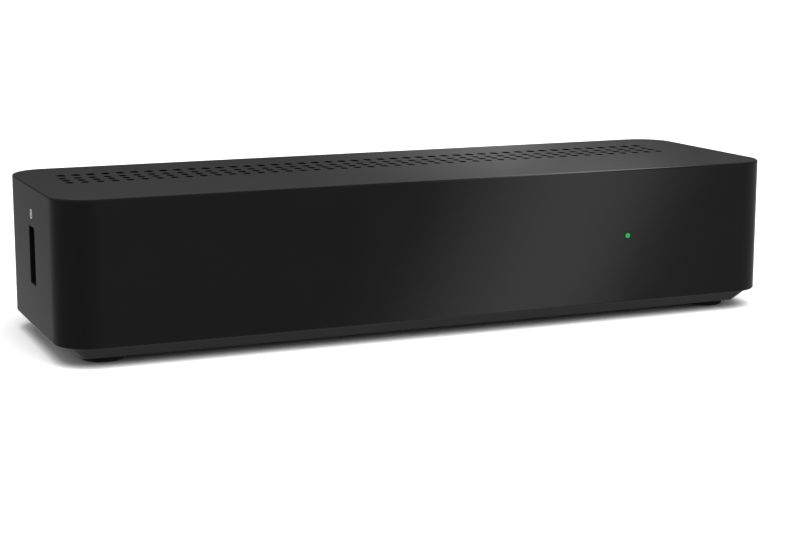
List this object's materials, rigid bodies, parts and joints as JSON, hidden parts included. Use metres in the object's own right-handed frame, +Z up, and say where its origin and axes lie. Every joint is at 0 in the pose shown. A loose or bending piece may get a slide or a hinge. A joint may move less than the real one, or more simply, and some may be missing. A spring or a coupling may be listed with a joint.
{
  "type": "tv decoder box",
  "caption": "Slim black television decoder box with rounded corners, vent holes in the lid, a green light in front, an upright USB slot and sockets behind.",
  "frame": {"origin": "on the floor, under the centre of the whole box with its rear sockets", "axes": "+X to the right seen from the front, +Y to the rear where the sockets are, +Z up"},
  "size_m": [0.175, 0.064, 0.0363],
  "materials": {
    "cover_plastic": "fine matte moulded texture",
    "tray_plastic": "fine matte moulded texture",
    "panel_paint": "satin black paint",
    "foot_rubber": "matte",
    "screw_steel": "zinc plated",
    "board_green": "solder mask",
    "chip_black": "moulded",
    "pad_grey": "soft silicone",
    "sink_aluminium": "extruded",
    "can_steel": "tinned",
    "capacitor_can": "drawn can",
    "ferrite_grey": "ferrite",
    "small_part_tan": "ceramic",
    "led_lens": "clear lens",
    "light_green": "lit light pipe",
    "receiver_dark": "dark clear epoxy",
    "usb_metal": "dark plated sheet",
    "socket_black": "moulded",
    "socket_nickel": "nickel plate",
    "insulator_white": "moulded",
    "washer_steel": "zinc plated",
    "contact_gold": "plated",
    "jack_yellow": "moulded",
    "insert_orange": "moulded",
    "switch_black": "moulded",
    "rocker_black": "polished moulding",
    "terminal_tin": "tinned"
  },
  "bodies": {
    "case": {"av_jack": "jack_yellow", "base_tray": "tray_plastic", "board_screws": "screw_steel", "bulk_capacitors": "capacitor_can", "case_screws": "screw_steel", "clock_crystal": "can_steel", "coax_barrel": "socket_nickel", "coax_body": "socket_black", "coax_insert": "insert_orange", "dc_jack": "socket_black", "dc_pin": "contact_gold", "decoder_chip": "chip_black", "flash_chip": "chip_black", "foot_front_left": "foot_rubber", "foot_front_right": "foot_rubber", "foot_rear_left": "foot_rubber", "foot_rear_right": "foot_rubber", "heat_sink": "sink_aluminium", "ir_receiver": "receiver_dark", "lan_contacts": "contact_gold", "lan_housing": "socket_black", "lan_shield": "can_steel", "lan_transformer": "chip_black", "light_pipe": "light_green", "main_board": "board_green", "memory_chip_front": "chip_black", "memory_chip_rear": "chip_black", "power_inductors": "ferrite_grey", "rear_panel": "panel_paint", "rf_in_insulator": "insulator_white", "rf_in_socket": "socket_nickel", "rf_nuts": "socket_nickel", "rf_out_insulator": "insulator_white", "rf_out_socket": "socket_nickel", "rf_washers": "washer_steel", "status_led": "led_lens", "surface_parts": "small_part_tan", "switch_frame": "switch_black", "switch_terminals": "terminal_tin", "thermal_pad": "pad_grey", "top_cover": "cover_plastic", "tuner_can": "can_steel", "tuner_chip": "chip_black", "usb_shell": "usb_metal", "usb_tongue": "socket_black", "video_shell": "socket_nickel", "video_tongue": "socket_black"},
    "rocker": {"power_rocker": "rocker_black"}
  },
  "joints": [
    {"name": "power_rocker_hinge", "type": "hinge", "parent": "case", "child": "rocker", "pos_m": [-0.0552, 0.0198, 0.02015], "axis": [1, 0, 0], "range_deg": [-18, 0]}
  ]
}
